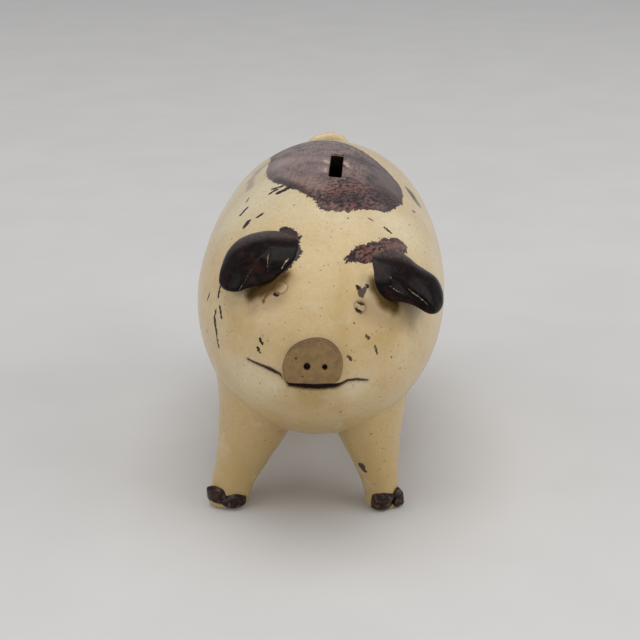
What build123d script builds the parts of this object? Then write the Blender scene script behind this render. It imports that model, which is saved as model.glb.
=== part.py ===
from build123d import *
import math
import os

# A pottery pig money bank, in millimetres. It stands on z = 0 with its nose towards -Y, so its
# left side is at +X. The body is a hollow egg thrown on the wheel; the snout, ears, tail, legs
# and toes are pieces of clay luted onto it.

# Body: the egg's axis runs from nose to rump, and "along" is measured on it from the widest ring
body_radius = 50
body_front = 86
body_rear = 118
rump_fullness = 2.6  # exponent of the rear outline, where 2 would be a plain ellipse
body_tilt = 1.5  # degrees, nose down
axis_height = 75
wall = 6

# Coin slot, cut straight down along the back
slot_width = 5.2
slot_length = 36
slot_x = 5.5
slot_along = 13
slot_corner = 1

# Snout: a D-shaped pad on the nose, with its flat face tipped up
snout_radius = 10.7
snout_chin = 5.8  # from the D's centre down to its straight edge
snout_x = 0.1
snout_rise = 0.7  # centre above the egg's axis
snout_reach = 87.2  # face centre in front of the widest ring
snout_tip_up = 8  # degrees
snout_edge = 0.8
nostril_radius = 1.1
nostril_depth = 3
nostril_rise = 0.4
nostril_spots = (-1.7, 4.6)

# Mouth: a groove that follows the nose, as (x, height above the axis) from right cheek to left
mouth_line = [(-23.5, -0.8), (-15, -2), (-10.5, -4.4), (-8.5, -6.2), (9.8, -6.2), (13, -5.2), (19.5, -7)]
mouth_width = 1.5
mouth_depth = 1.4

# Eyes: stamped rings, as (turn from the top towards +X in degrees, along)
eyes = {"right": (-23.5, -70), "left": (39, -72.5)}
eye_radius = 2.6
eye_line = 0.7
eye_depth = 0.5

# Ears: each hangs from a root on the head; (turn, along) of the root, then the tip from the
# middle of the egg, and the half widths at the root, at the middle and near the tip
ears = {
    "right_ear": {"root": (-7.5, -52), "tip": (-34.5, -59.5, 23), "half_widths": (10, 14, 9.5)},
    "left_ear": {"root": (33, -53.5), "tip": (46.5, -53, 12.5), "half_widths": (10, 10.8, 8.5)},
}
ear_root_thickness = 7
ear_tip_thickness = 4
ear_bulge = 3.5
ear_sink = 4

# Tail: a rolled strip of clay that curls over the rump, as points from the middle of the egg
tail_route = [(3.5, 111, 14), (4.5, 112, 33.5), (-1.5, 109, 38), (-8.5, 106.5, 35.5), (-6.5, 105.5, 28)]
tail_radius = 2.6
tail_bends = [4, 4, 4]

# Legs: foot centre, foot radius, and the centre that the leg leans to where it enters the body
legs = {
    "front_right_leg": {"foot": (-35.7, -41), "radius": 8, "top": (-15.5, -40), "flare": 15.5},
    "front_left_leg": {"foot": (26.3, -41), "radius": 6.5, "top": (15.5, -40), "flare": 16.5},
    "rear_right_leg": {"foot": (-31, 43), "radius": 7.4, "top": (-16, 41), "flare": 16},
    "rear_left_leg": {"foot": (25, 43), "radius": 7, "top": (16, 41), "flare": 16.5},
}
leg_top = 55
leg_sections = 6
leg_curve = 1.7

# Toes: two pellets on each foot, as headings in degrees from +X
toes = {
    "front_right": {"outer": 235, "inner": 301},
    "front_left": {"outer": 345, "inner": 262},
    "rear_right": {"outer": 226, "inner": 302},
    "rear_left": {"outer": 322, "inner": 246},
}
toe_width = 7.2
toe_thickness = 8
toe_height = 5.4
toe_gap = 0.8  # from the floor up to the toe
toe_taper = 14
toe_bury = 0.8

os.makedirs("parts", exist_ok=True)

# The egg's middle is set so that the snout and the rump lie equally far from the origin
snout_front = snout_reach + snout_chin * math.sin(math.radians(snout_tip_up))
body_y = (snout_front - body_rear) / 2
middle = Vector(0, body_y, axis_height)
axis_direction = Vector(0, math.cos(math.radians(body_tilt)), math.sin(math.radians(body_tilt)))
egg_plane = Plane(origin=middle, x_dir=axis_direction, z_dir=(1, 0, 0))


def outline_radius(along):
    """Radius of the body's outer surface at a place on its axis."""
    if along < 0:
        return body_radius * math.sqrt(1 - (along / body_front) ** 2)
    return body_radius * (1 - (along / body_rear) ** rump_fullness) ** (1 / rump_fullness)


def on_body(turn, along):
    """Plane on the body's outer surface, facing outwards."""
    around = math.radians(turn)
    radius = outline_radius(along)
    step = 0.5
    slope = (outline_radius(along + step) - outline_radius(along - step)) / (2 * step)
    spoke = Vector(math.sin(around), 0, 0) + egg_plane.y_dir * math.cos(around)
    point = middle + axis_direction * along + spoke * radius
    return Plane(origin=point, x_dir=axis_direction, z_dir=spoke - axis_direction * slope)


def egg(inset):
    """Solid of revolution that lies inside the body's outer surface by the inset."""
    radius = body_radius - inset
    front = body_front - inset
    rear = body_rear - inset
    rump = []
    for degrees in range(0, 91, 15):
        turn = math.radians(degrees)
        out = max(math.cos(turn), 0) ** (2 / rump_fullness)
        rump.append((rear * math.sin(turn) ** (2 / rump_fullness), radius * out))
    with BuildPart() as solid:
        with BuildSketch(egg_plane):
            with BuildLine():
                EllipticalCenterArc((0, 0), front, radius, start_angle=90, arc_size=90)
                Spline(*rump, tangents=[(1, 0), (0, -1)])
                Line((-front, 0), (rear, 0))
            make_face()
        revolve(axis=Axis(middle, axis_direction))
    return solid.part


outer = egg(0)
cavity = egg(wall)
groove_floor = egg(mouth_depth)

# --- Mouth, as the solid that is cut away ---
with BuildPart() as mouth:
    with BuildSketch(Plane(origin=middle, x_dir=(1, 0, 0), z_dir=(0, -1, 0))):
        with BuildLine():
            Polyline(*mouth_line)
        trace(line_width=mouth_width)
    extrude(amount=body_front)
    add(groove_floor, mode=Mode.SUBTRACT)

# --- Body ---
slot_top = Plane((slot_x, body_y + slot_along, axis_height + body_radius + wall))
with BuildPart() as body:
    add(outer)
    add(cavity, mode=Mode.SUBTRACT)
    with BuildSketch(slot_top):
        RectangleRounded(slot_width, slot_length, slot_corner)
    extrude(amount=-4 * wall, mode=Mode.SUBTRACT)
    add(mouth.part, mode=Mode.SUBTRACT)
    for turn, along in eyes.values():
        with BuildSketch(on_body(turn, along).offset(eye_depth)):
            Circle(eye_radius)
            Circle(eye_radius - eye_line, mode=Mode.SUBTRACT)
        extrude(amount=-2 * eye_depth, mode=Mode.SUBTRACT)
body.part.label = "body"
export_step(body.part, "parts/body.step")

# --- Snout ---
lean = math.radians(snout_tip_up)
snout_face = Plane(
    origin=middle + Vector(snout_x, -snout_reach, snout_rise),
    x_dir=(1, 0, 0),
    z_dir=(0, -math.cos(lean), math.sin(lean)),
)
with BuildPart() as snout:
    with BuildSketch(snout_face):
        Circle(snout_radius)
        with Locations((0, -snout_chin - snout_radius)):
            Rectangle(2 * snout_radius, 2 * snout_radius, mode=Mode.SUBTRACT)
    extrude(amount=-snout_radius)
    fillet(faces().sort_by(Axis(middle, snout_face.z_dir))[-1].edges(), snout_edge)
    add(outer, mode=Mode.SUBTRACT)
    with BuildSketch(snout_face):
        with Locations(*[(x, nostril_rise) for x in nostril_spots]):
            Circle(nostril_radius)
    extrude(amount=-nostril_depth, mode=Mode.SUBTRACT)
snout.part.label = "snout"
export_step(snout.part, "parts/snout.step")

# --- Ears: leaf sections lofted from under the skin of the head out to the tip ---
for name, ear_size in ears.items():
    root_plane = on_body(*ear_size["root"])
    root = root_plane.origin - root_plane.z_dir * ear_sink
    tip = middle + Vector(*ear_size["tip"])
    reach = (tip - root).normalized()
    across = (root_plane.x_dir - reach * root_plane.x_dir.dot(reach)).normalized()
    bulge = reach.cross(across).normalized() * ear_bulge
    if bulge.dot(root_plane.z_dir) < 0:
        bulge = -bulge
    root_half, middle_half, tip_half = ear_size["half_widths"]
    stations = [
        (0, root_half, ear_root_thickness / 2),
        (0.3, (root_half + middle_half) / 2, ear_root_thickness / 2),
        (0.55, middle_half, (ear_root_thickness + ear_tip_thickness) / 4),
        (0.85, tip_half, ear_tip_thickness / 2),
        (1, tip_half / 2, ear_tip_thickness / 3),
    ]
    with BuildPart() as ear:
        for place, half_width, half_thickness in stations:
            centre = root + (tip - root) * place + bulge * math.sin(math.pi * place)
            with BuildSketch(Plane(origin=centre, x_dir=across, z_dir=reach)):
                Ellipse(half_width, half_thickness)
        loft()
        add(outer, mode=Mode.SUBTRACT)
    ear.part.label = name
    export_step(ear.part, f"parts/{name}.step")

# --- Tail ---
with BuildPart() as tail:
    with BuildLine() as route:
        FilletPolyline(*[middle + Vector(*point) for point in tail_route], radius=tail_bends)
    with BuildSketch(Plane(origin=route.line @ 0, z_dir=route.line % 0)):
        Circle(tail_radius)
    sweep()
    fillet(faces().sort_by(Axis(route.line @ 1, route.line % 1))[-1].edges(), tail_radius * 0.8)
    add(outer, mode=Mode.SUBTRACT)
tail.part.label = "tail"
export_step(tail.part, "parts/tail.step")

# --- Legs: each flares from its flat sole into the belly ---
leg_solids = {}
for name, leg_size in legs.items():
    with BuildPart() as leg:
        for section in range(leg_sections):
            rise = section / (leg_sections - 1)
            x, y = [a + (b - a) * rise for a, b in zip(leg_size["foot"], leg_size["top"])]
            radius = leg_size["radius"] + leg_size["flare"] * rise**leg_curve
            with BuildSketch(Plane((x, body_y + y, leg_top * rise))):
                Circle(radius)
        loft()
        add(outer, mode=Mode.SUBTRACT)
    leg.part.label = name
    leg_solids[name] = leg.part
    export_step(leg.part, f"parts/{name}.step")

# --- Toes: tapered pellets pressed against the front of each foot ---
for foot, headings in toes.items():
    leg_size = legs[f"{foot}_leg"]
    for side, degrees in headings.items():
        heading = Vector(1, 0, 0).rotate(Axis.Z, degrees)
        sole = Vector(leg_size["foot"][0], body_y + leg_size["foot"][1], toe_gap)
        centre = sole + heading * (leg_size["radius"] - toe_bury)
        with BuildPart() as toe:
            with BuildSketch(Plane(origin=centre, x_dir=heading, z_dir=(0, 0, 1))):
                Ellipse(toe_thickness / 2, toe_width / 2)
            extrude(amount=toe_height, taper=toe_taper)
            add(leg_solids[f"{foot}_leg"], mode=Mode.SUBTRACT)
        toe.part.label = f"{foot}_{side}_toe"
        export_step(toe.part, f"parts/{toe.part.label}.step")
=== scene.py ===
import math
import bmesh
import bpy
import numpy as np
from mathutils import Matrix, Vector, noise


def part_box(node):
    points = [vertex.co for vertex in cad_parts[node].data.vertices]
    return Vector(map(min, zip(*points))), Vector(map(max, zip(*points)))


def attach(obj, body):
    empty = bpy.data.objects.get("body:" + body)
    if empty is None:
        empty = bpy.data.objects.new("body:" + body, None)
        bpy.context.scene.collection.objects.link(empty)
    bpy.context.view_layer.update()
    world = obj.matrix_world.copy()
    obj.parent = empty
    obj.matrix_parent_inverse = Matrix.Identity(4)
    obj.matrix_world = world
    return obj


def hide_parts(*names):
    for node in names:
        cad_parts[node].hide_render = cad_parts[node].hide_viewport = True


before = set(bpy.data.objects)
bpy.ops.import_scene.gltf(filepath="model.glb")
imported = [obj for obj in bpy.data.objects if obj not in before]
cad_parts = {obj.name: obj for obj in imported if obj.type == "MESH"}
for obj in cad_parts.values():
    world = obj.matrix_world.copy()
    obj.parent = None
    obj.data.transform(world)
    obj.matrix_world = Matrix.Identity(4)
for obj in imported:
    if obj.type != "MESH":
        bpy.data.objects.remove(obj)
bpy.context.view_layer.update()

# A pottery pig money bank. Lengths are in millimetres, and become metres when a mesh is made.
# The egg's own axes are x, along (from the middle towards the rump) and up.
MM = 0.001
body_low, body_high = [np.array(corner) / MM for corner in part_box("body")]
RADIUS = (body_high[0] - body_low[0]) / 2
LENGTH = body_high[1] - body_low[1]
FRONT_SHARE = 86 / 204
FRONT = LENGTH * FRONT_SHARE
REAR = LENGTH - FRONT
FULLNESS = 2.6
TILT = math.radians(1.5)
MIDDLE = np.array([0, body_low[1] + FRONT, (body_low[2] + body_high[2]) / 2])
WALL = 6


# --- The egg's surface ---
def to_world(local):
    """Points in the egg's own axes, moved to the frame's."""
    x, along, up = np.asarray(local, float).T
    c, s = math.cos(TILT), math.sin(TILT)
    return MIDDLE + np.stack([x, along * c - up * s, along * s + up * c], axis=1)


def to_egg(points):
    """Points in the frame's axes, moved to the egg's own."""
    x, y, z = (np.asarray(points, float) - MIDDLE).T
    c, s = math.cos(TILT), math.sin(TILT)
    return np.stack([x, y * c + z * s, z * c - y * s], axis=1)


def turned(vectors):
    """Directions in the egg's own axes, turned to the frame's."""
    return to_world(vectors) - MIDDLE


def half_shape(along):
    """The power of the egg's curve, and its reach from the middle, for places along it."""
    return np.where(along < 0, 2, FULLNESS), np.where(along < 0, FRONT, REAR)


def onto_egg(local, inset=0):
    """Points moved along their line from the middle until they lie on the egg."""
    x, along, up = local.T
    power, reach = half_shape(along)
    size = (np.hypot(x, up) / (RADIUS - inset)) ** power + (np.abs(along) / (reach - inset)) ** power
    return local / (size ** (1 / power))[:, None]


def egg_normal(local):
    """Unit normals of the egg at points on it, in its own axes."""
    x, along, up = local.T
    power, reach = half_shape(along)
    out = np.maximum(np.hypot(x, up), 1e-6) ** (power - 2) / RADIUS**power
    axial = np.sign(along) * np.abs(along) ** (power - 1) / reach**power
    return unit(np.stack([x * out, axial, up * out], axis=1))


def egg_points(turn, along):
    """Points on the egg at a turn in degrees from the top towards +X."""
    turn, along = np.broadcast_arrays(np.radians(turn), np.asarray(along, float))
    power, reach = half_shape(along)
    radius = RADIUS * np.clip(1 - (np.abs(along) / reach) ** power, 0, 1) ** (1 / power)
    local = np.stack([radius * np.sin(turn), along, radius * np.cos(turn)], axis=-1)
    return local.reshape(-1, 3)


def wobble(local):
    """How far the hand-made wall stands proud of the true egg, with faint throwing rings."""
    x, along, up = local.T
    lumps = 0.3 * np.sin(x / 15 + along / 27 + 1.3) * np.cos(up / 19 - along / 37)
    lumps += 0.22 * np.sin(along / 12 + 0.8 * np.sin(x / 17) + 0.5)
    lumps += 0.12 * np.sin(x / 6.5 + up / 8.1) * np.sin(along / 7.3 - up / 9)
    rings = 0.015 * np.sin(along * 1.35 + 1.6 * np.sin(along / 9))
    return lumps * 0.8 + rings


def skin(turn, along):
    """Points and outward normals on the finished wall, in the frame's axes."""
    local = egg_points(turn, along)
    normal = egg_normal(local)
    return to_world(local + normal * wobble(local)[:, None]), turned(normal)


# --- Small tools ---
def unit(vectors):
    """Each vector made one long."""
    return vectors / np.linalg.norm(vectors, axis=-1, keepdims=True)


def circle(count):
    """Evenly spaced angles once around."""
    return np.linspace(0, 2 * math.pi, count, endpoint=False)


def smoothstep(low, high, value):
    """From 0 to 1 as the value goes from low to high, easing in and out."""
    t = np.clip((value - low) / (high - low), 0, 1)
    return t * t * (3 - 2 * t)


def flow(stations, places):
    """Smooth values at places from 0 to 1, through evenly spaced stations."""
    stations = np.asarray(stations, float)
    if stations.ndim == 1:
        stations = stations[:, None]
    padded = np.vstack([2 * stations[0] - stations[1], stations, 2 * stations[-1] - stations[-2]])
    spans = len(stations) - 1
    position = np.clip(np.asarray(places, float), 0, 1) * spans
    span = np.minimum(position.astype(int), spans - 1)
    t = (position - span)[:, None]
    a, b, c, d = [padded[span + i] for i in range(4)]
    curve = b + 0.5 * t * (c - a + t * (2 * a - 5 * b + 4 * c - d + t * (3 * (b - c) + d - a)))
    return curve[:, 0] if curve.shape[1] == 1 else curve


def lumpy(points, size, seed=0):
    """Smooth noise from -1 to 1 at points, with lumps of the given size."""
    shift = Vector((seed * 17.3, seed * 5.1, seed * 9.7))
    return np.array([noise.noise(Vector(p) / size + shift) for p in points])


def line_distance(points, line):
    """Distance from 2-D points to a polyline, and how far along it the nearest place is."""
    best = np.full(len(points), 1e9)
    place = np.zeros(len(points))
    for i, (a, b) in enumerate(zip(line[:-1], line[1:])):
        a, b = np.array(a, float), np.array(b, float)
        t = np.clip((points - a) @ (b - a) / ((b - a) @ (b - a)), 0, 1)
        distance = np.linalg.norm(points - a - t[:, None] * (b - a), axis=1)
        nearer = distance < best
        best = np.where(nearer, distance, best)
        place = np.where(nearer, (i + t) / (len(line) - 1), place)
    return best, place


def inside_distance(points, outline):
    """Distance from 2-D points to a closed outline, positive inside it."""
    closed = list(outline) + [outline[0]]
    distance, _ = line_distance(points, closed)
    odd = np.zeros(len(points), bool)
    for (ax, ay), (bx, by) in zip(closed[:-1], closed[1:]):
        if ay != by:
            crosses = (ay > points[:, 1]) != (by > points[:, 1])
            odd ^= crosses & (points[:, 0] < ax + (points[:, 1] - ay) * (bx - ax) / (by - ay))
    return np.where(odd, distance, -distance)


# --- What is painted on, as fields in millimetres that are positive inside the mark ---
BACK_PATCH = [
    (-29, 44), (-28.5, 36), (-28.5, 18), (-26, 6), (-21, -5), (-14.5, -14.5), (-9.5, -20), (-6, -24),
    (-2, -29), (-0.5, -33), (3, -36), (9, -35.5), (15, -34), (19.5, -30), (27.5, -25), (33, -22),
    (36.5, -14), (40, -3.5), (40.5, 9), (39.5, 17.5), (36, 25), (31.5, 32), (25.5, 41), (19, 49.5),
    (13, 58), (4, 68), (-10, 72), (-26, 68), (-32, 56),
]
EAR_PATCH = [
    (17, -61.5), (18.5, -57.5), (22, -52), (27, -48.3), (31.5, -44.5), (34, -40.5), (40.5, -35),
    (46, -33), (48.5, -34.5), (49, -39), (46, -46), (40, -53), (33, -56), (29, -58.5),
    (24.5, -59), (20, -60.5),
]
ROOT_PATCH = [
    (-26, -49), (-21, -46.5), (-16.5, -44), (-11, -46.5), (-7.5, -51), (-8, -54), (-9.5, -55.3),
    (-6.5, -57), (-7, -59.7), (-10.5, -62), (-15, -64.2), (-20, -66.3), (-26, -60),
]
# Small marks by kind: turn and along of one end, then of the other, and the half width
MARKS = {
    "spot": [
        (-38.8, -19.4, -35.4, -17, 0.82), (-36.5, -31.7, -34.7, -30.1, 1.37),
        (-29.7, -30.7, -27.2, -30.2, 0.82), (-18.9, -17, -14.5, -14.9, 1.5),
        (-22.2, -10.6, -18, -11.2, 1), (-23.4, -14.4, -20, -13, 0.9), (34, -33.6, 36.9, -34, 0.82),
        (25, -33.5, 26.5, -33.4, 0.57), (-71, -43.6, -74, -43.3, 0.62),
        (-61.3, -50.2, -65.8, -52.3, 0.72), (-68.8, -56, -72.3, -59.4, 0.67),
        (-72.9, -54.1, -76.5, -54.4, 0.72), (-76.5, -54.4, -83.7, -58.1, 0.97),
        (-83.7, -58.1, -91, -60, 0.57), (-61.6, -77.7, -64.5, -78.7, 0.5),
        (-71, -78.1, -75, -79.1, 0.5), (30.7, -67.6, 31.3, -68, 0.67), (35.8, -65.3, 36.4, -65.6, 0.67),
        (-29, -71, -26.8, -71.5, 0.8), (36.6, -71.9, 40, -71.4, 0.6), (37.2, -73.9, 42, -73.8, 0.65),
        (46.5, 26, 48.5, 21.5, 1), (46.6, -1, 48, 0.2, 0.67),
    ],
    "smudge": [
        (-35.8, -10, -35, -6.6, 0.5), (-89.8, -47.6, -88.4, -48.2, 0.45),
        (65.5, -82.5, 72, -82.4, 0.55), (72, -76, 79, -76, 0.55), (58.4, -76.9, 62.5, -76.7, 0.6),
        (31.2, -67.7, 35.6, -69.4, 1.1), (35.6, -66.6, 35.8, -69.4, 0.9),
    ],
    "rust": [(-33.7, -69.6, -39.6, -71, 0.75)],
    "clay": [(46.8, 26, 49.8, 20.5, 3.7)],
    "haze": [(-27, 42, -33.4, 34, 1.6), (-33.4, 34, -37, 24, 2), (-37, 24, -36, 7, 1.8)],
    # Soft painted shade on the skin below and beside the ears
    "under_ear_shade": [
        (-20, -67.5, -36, -70, 2.5), (-30, -72, -46, -69.5, 3), (39, -64, 46, -69, 3),
        (45, -71, 60, -66, 4), (60, -66, 74, -59, 3),
    ],
    # Painted shadow in the creases just under the ears' lower edges, brown and with little reflection
    "ear_crevice_shadow": [
        (-20, -66.5, -29, -68, 1.8), (-29, -67.6, -37, -67, 2.9), (-37, -67, -45, -66, 2.2),
        (43, -62.6, 51, -64.2, 3.8), (51, -64.2, 58, -62.8, 3),
    ],
    "wear_and_glint": [
        (1.2, 17, 2.5, 13.5, 1.1), (1.6, 6, 1.8, 0, 0.5), (10.5, 17, 11.6, 11.5, 1.1),
        (6.9, -5.5, 10.6, -5.2, 0.5), (6.2, 31.6, 7.4, 31.6, 0.6),
    ],
}
# Kinds with soft edges, for which the grid needn't be finer
SOFT_KINDS = ("haze", "under_ear_shade", "ear_crevice_shadow")
# The value of a field far from any mark
FAR = -50.0

# Mouth, in the egg's own x and up, from the right cheek to the left, with half width and depth
MOUTH = [(-23.5, 1.2), (-18.5, 0.6), (-14.8, 0), (-11.6, -1), (-9.8, -3.2), (-8, -4.8),
         (2, -5), (8.4, -4.9), (10.6, -4.2), (12.6, -3.2), (15.8, -3.5), (19.5, -4.9)]
MOUTH_HALF = [0.4, 0.5, 0.7, 0.45, 0.1, 0.9, 1.2, 1.0, 0.55, 0.5, 0.5, 0.35]
MOUTH_DEPTH = [0.4, 0.7, 0.9, 0.6, 0.1, 2.0, 2.4, 2.2, 1.0, 0.7, 0.6, 0.3]
MOUTH_ENDS = -60

# Pale and ochre washes in the slip, set to the skin's brightness, so that besides uneven slip they paint
# shade and light: (turn, along, size, strength)
TONE_WASHES_AND_PAINTED_LIGHT = [
    (-34, -10, 16, 0.9), (-52, 24, 18, 0.9), (41, -25, 15, 0.9), (55, 10, 14, 0.5), (8, -46, 13, 0.6),
    (-15, -35, 10, 0.3), (0, -63, 10, -0.6), (-70, -70, 9, -0.5), (66, -70, 9, -0.4), (-94, -66, 9, 0.4),
    # Painted shade under the mouth and on the chin: the washes at turn 179 and 180
    (-114, -82, 5, 0.6), (118, -81, 6, 0.7), (90, -66, 8, 0.3), (179, -85, 5, -0.7), (180, -72, 8, -0.3),
    (2, -56, 12, -0.9), (-22, -42, 7, -0.4), (84, -77, 9, 0.35), (-84, -78, 8, 0.25), (-24, 26, 8, 0.5),
    (3, 17, 6, 0.5), (0, 4, 6, 0.5), (-24, 2, 7, 0.3), (15, -23, 8, -0.8), (29, -11, 9, -0.7),
    (35, -4, 7, -0.6), (180, -84, 7, -0.8), (-11.3, 21.3, 12, 0.5), (4.9, 33.3, 9, 0.4),
    (0.1, -33.9, 5, 0.3), (12.9, -33.7, 5, 0.3), (26.5, -23.6, 5, 0.3), (13.8, 29.6, 6, -0.8),
    (7.5, -67.3, 9, -0.5), (58.8, -71.2, 9, -0.5), (-8.7, -62.5, 10, -0.6), (-107.4, -75.4, 10, 0.6),
    (42.9, -79, 10, -0.5), (-47, -15.1, 10, 0.5), (57.6, -71.7, 10, -0.5), (-46.6, -80.1, 10, -0.5),
    (68.1, -15.7, 10, 0.4), (25.8, -73.2, 10, -0.4), (1, -16.6, 6, 0.4), (22.9, -23, 6, -0.2),
    (-21.8, 28.1, 6, 0.2), (7.6, -27, 6, -0.1), (-6, -8, 9, 0.45), (18, 24, 7, -0.4), (30, 8, 8, -0.15),
]

# Eyes: (turn, along), and the radius of the stamped ring
EYES = [(-23.4, -70.1), (38.9, -72.6)]
EYE_RING = 2.3


def patch_field(local):
    """Distance inside the painted patches, measured on the unrolled skin."""
    turn = np.arctan2(local[:, 0], local[:, 2])
    field = np.full(len(local), FAR)
    for outline in (BACK_PATCH, EAR_PATCH, ROOT_PATCH):
        along_mean = np.mean([along for _, along in outline])
        radius = np.linalg.norm(egg_points(0, along_mean)[0, [0, 2]])
        flat = [(math.radians(degrees) * radius, along) for degrees, along in outline]
        field = np.maximum(field, inside_distance(np.stack([turn * radius, local[:, 1]], 1), flat))
    return field


def unrolled(local):
    """Place around the egg in millimetres, as if its skin were unrolled from the top."""
    return np.arctan2(local[:, 0], local[:, 2]) * RADIUS


def mark_lines():
    """Each small mark as kind, its two ends in the frame's axes, and its half width."""
    for kind, marks in MARKS.items():
        for turn, along, end_turn, end_along, half in marks:
            yield kind, skin(turn, along)[0][0], skin(end_turn, end_along)[0][0], half


def segment_distance(points, a, b):
    """Distance from 3-D points to a straight segment."""
    t = np.clip((points - a) @ (b - a) / max((b - a) @ (b - a), 1e-9), 0, 1)
    return np.linalg.norm(points - a - t[:, None] * (b - a), axis=1)


def mark_fields(points):
    """Distance inside the marks of each kind, for points in the frame's axes."""
    fields = {kind: np.full(len(points), FAR) for kind in MARKS}
    for kind, a, b, half in mark_lines():
        fields[kind] = np.maximum(fields[kind], half - segment_distance(points, a, b))
    return fields


def tone_field(points):
    """How pale, or with a minus how ochre, the slip is at points in the frame's axes, with painted shade
    and light among the washes.
    """
    tone = np.zeros(len(points))
    for turn, along, size, strength in TONE_WASHES_AND_PAINTED_LIGHT:
        centre = skin(turn, along)[0][0]
        tone += strength * np.exp(-(((points - centre) / size) ** 2).sum(1))
    return np.clip(tone, -1, 1)


def mouth_shape(local):
    """How deep the mouth's groove is at points on the egg, and the distance inside its edge."""
    depth = np.zeros(len(local))
    field = np.full(len(local), FAR)
    near = local[:, 1] < MOUTH_ENDS
    distance, place = line_distance(local[near][:, [0, 2]], MOUTH)
    half = flow(MOUTH_HALF, place)
    deep = flow(MOUTH_DEPTH, place)
    burr = 0.12 * np.exp(-(((distance - 1.7 * half) / (0.6 * half)) ** 2))
    depth[near] = deep * (1 - smoothstep(0.35 * half, 1.25 * half, distance)) - burr
    field[near] = half - distance
    return depth, field


def eye_shape(points):
    """How deep the stamped eye rings are, and minus the distance from their lines."""
    depth = np.zeros(len(points))
    ring = np.full(len(points), FAR)
    for turn, along in EYES:
        centre, _ = skin(turn, along)
        distance = np.linalg.norm(points - centre[0], axis=1)
        depth += 0.28 * np.exp(-(((distance - EYE_RING) / 0.38) ** 2))
        ring = np.maximum(ring, -np.abs(distance - EYE_RING))
    return depth, ring


# --- Making pieces ---
def make_piece(node, points, faces, material, fields=None):
    """A closed smooth mesh that stands for one CAD node and rides with it."""
    mesh = bpy.data.meshes.new("pot_" + node)
    mesh.from_pydata((np.asarray(points) * MM).tolist(), [], faces)
    tidy = bmesh.new()
    tidy.from_mesh(mesh)
    bmesh.ops.recalc_face_normals(tidy, faces=tidy.faces)
    tidy.to_mesh(mesh)
    tidy.free()
    mesh.polygons.foreach_set("use_smooth", [True] * len(mesh.polygons))
    for name, values in (fields or {}).items():
        attribute = mesh.attributes.new(name, "FLOAT", "POINT")
        attribute.data.foreach_set("value", np.asarray(values, np.float32))
    mesh.materials.append(material)
    piece = bpy.data.objects.new("pot_" + node, mesh)
    bpy.context.scene.collection.objects.link(piece)
    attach(piece, "root")
    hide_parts(node)


def skinned(rings, start, end):
    """Points and faces of a closed skin over rings of points, capped by a point at each end."""
    count, around, _ = rings.shape
    points = np.vstack([rings.reshape(-1, 3), [start], [end]])
    faces = []
    for i in range(count - 1):
        for j in range(around):
            k = (j + 1) % around
            faces.append((i * around + j, i * around + k, (i + 1) * around + k, (i + 1) * around + j))
    first, last = count * around, count * around + 1
    for j in range(around):
        k = (j + 1) % around
        faces.append((first, k, j))
        faces.append((last, (count - 1) * around + j, (count - 1) * around + k))
    return points, faces


# --- Body: one closed wall, outside, through the slot and inside ---
SLOT_X = 5.4
SLOT_HALF_WIDTH = 2.6
SLOT_ALONG = 13
SLOT_HALF_LENGTH = 18
SLOT_CORNER = 1.1
SLOT_LIP = 0.45
LIP_STEPS = (0.2, 0.45, 0.8, 1.3, 2)
LIP_CHIPS = [(-3.4, 7, 1.5), (3.6, -3, 1.4), (-3.1, -8, 1.0), (2.9, 9, 0.9)]
CHIP_DEPTH = 0.3
# Faces of the grid across the slot, along it and down its wall
SLOT_ACROSS, SLOT_LONG, SLOT_DOWN = 4, 28, 8
# Spacing of the body's grid: degrees around it and millimetres along it
TURN_STEP, ALONG_STEP = 1.5, 1.4
# The wall sinks behind the snout, so that the nostrils open into a hollow
HOLLOW_DEPTH, HOLLOW_REACH = 3.5, (4.5, 8)


def lines_between(low, high, step, fixed):
    """Grid places from low to high: the fixed ones, and even steps where none is near."""
    even = np.arange(low, high, step)
    fixed = np.array(sorted(fixed))
    clear = [value for value in even if np.abs(fixed - value).min() > 0.55 * step]
    return np.array(sorted(clear + list(fixed)))


def slot_edges(centre, half, faces):
    """Grid places evenly across the slot, and close together at both its edges."""
    places = list(np.arange(centre - half, centre + half + 1e-6, 2 * half / faces))
    for step in LIP_STEPS:
        places += [centre - half - step, centre + half + step]
    return places


def slot_round(x, along):
    """Pull the slot's corners in plan to a radius, fading out around them."""
    dx, dy = x - SLOT_X, along - SLOT_ALONG
    cx = np.abs(dx) - (SLOT_HALF_WIDTH - SLOT_CORNER)
    cy = np.abs(dy) - (SLOT_HALF_LENGTH - SLOT_CORNER)
    square = np.maximum(cx, cy)
    true = np.maximum(np.hypot(cx, cy), 1e-6)
    fade = (cx > 0) & (cy > 0)
    pull = np.where(fade, (square / true - 1) * np.clip(1 - (square - SLOT_CORNER) / 2, 0, 1), 0)
    return x + np.sign(dx) * cx * pull, along + np.sign(dy) * cy * pull


def slot_outside(x, along):
    """Distance outside the slot's rounded rectangle."""
    dx = np.abs(x - SLOT_X) - (SLOT_HALF_WIDTH - SLOT_CORNER)
    dy = np.abs(along - SLOT_ALONG) - (SLOT_HALF_LENGTH - SLOT_CORNER)
    outside = np.hypot(np.maximum(dx, 0), np.maximum(dy, 0)) + np.minimum(np.maximum(dx, dy), 0)
    return outside - SLOT_CORNER


def slot_drop(local):
    """How far the lip of the slot rounds down, with a few chips knocked out of it."""
    distance = np.maximum(slot_outside(local[:, 0], local[:, 1]), 0)
    inner = np.clip(SLOT_LIP - distance, 0, SLOT_LIP)
    drop = SLOT_LIP - np.sqrt(np.maximum(SLOT_LIP**2 - inner**2, 0))
    for x, along, size in LIP_CHIPS:
        chip = np.hypot(local[:, 0] - SLOT_X - x, (local[:, 1] - SLOT_ALONG - along) / 2.2)
        drop += CHIP_DEPTH * (1 - smoothstep(0.3 * size, size, chip))
    return np.where(local[:, 2] > 0, drop, 0)


def snout_distance(points):
    """Distance from the middle of the snout, whose nostrils are pierced into a hollow behind it."""
    return np.linalg.norm(points - (MIDDLE + (SNOUT_X, -FRONT, SNOUT_RISE + 1.5)), axis=1)


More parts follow.
